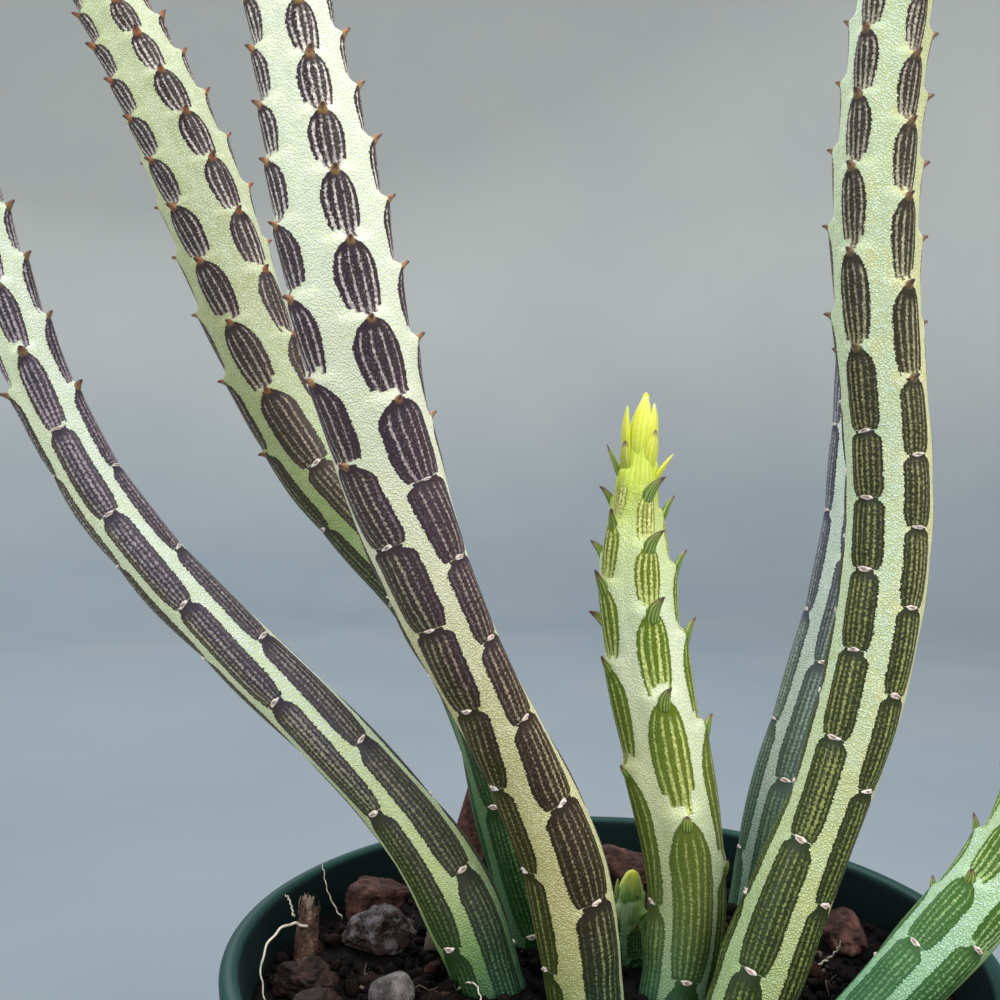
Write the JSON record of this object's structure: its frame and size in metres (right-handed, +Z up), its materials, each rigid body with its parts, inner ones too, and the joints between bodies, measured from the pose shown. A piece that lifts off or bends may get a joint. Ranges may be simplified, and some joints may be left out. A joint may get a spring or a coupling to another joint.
{
  "type": "potted pickle plant",
  "caption": "Cluster of slender ribbed succulent stems with small scale leaves and leafy growing tips, standing in potting mix in a round tapered nursery pot with a rolled rim.",
  "frame": {"origin": "middle of the pot's flat base, on the surface that the pot stands on", "axes": "+Z up along the pot's axis; -Y towards the viewer of the picture's side, which is the front; +X to the right of that side"},
  "size_m": [0.1468, 0.104, 0.2426],
  "materials": {
    "pot_plastic": "satin",
    "potting_mix": "matte",
    "stem_skin": "matte",
    "young_skin": "matte",
    "bark": "matte",
    "pebble_stone": "matte"
  },
  "bodies": {
    "root": {"pot": "pot_plastic", "soil": "potting_mix", "stem_tall_front": "stem_skin", "stem_tall_back": "stem_skin", "stem_left": "stem_skin", "stem_right": "stem_skin", "stem_back_right": "stem_skin", "young_shoot": "young_skin", "side_shoot": "young_skin", "bud_shoot": "young_skin", "bark_chip_1": "bark", "bark_chip_2": "bark", "bark_chip_3": "bark", "bark_chip_4": "bark", "bark_chip_5": "bark", "bark_chip_6": "bark", "bark_chip_7": "bark", "bark_flake": "bark", "twig": "bark", "pebble_1": "pebble_stone", "pebble_2": "pebble_stone", "pebble_3": "pebble_stone", "pebble_4": "pebble_stone"}
  },
  "joints": []
}
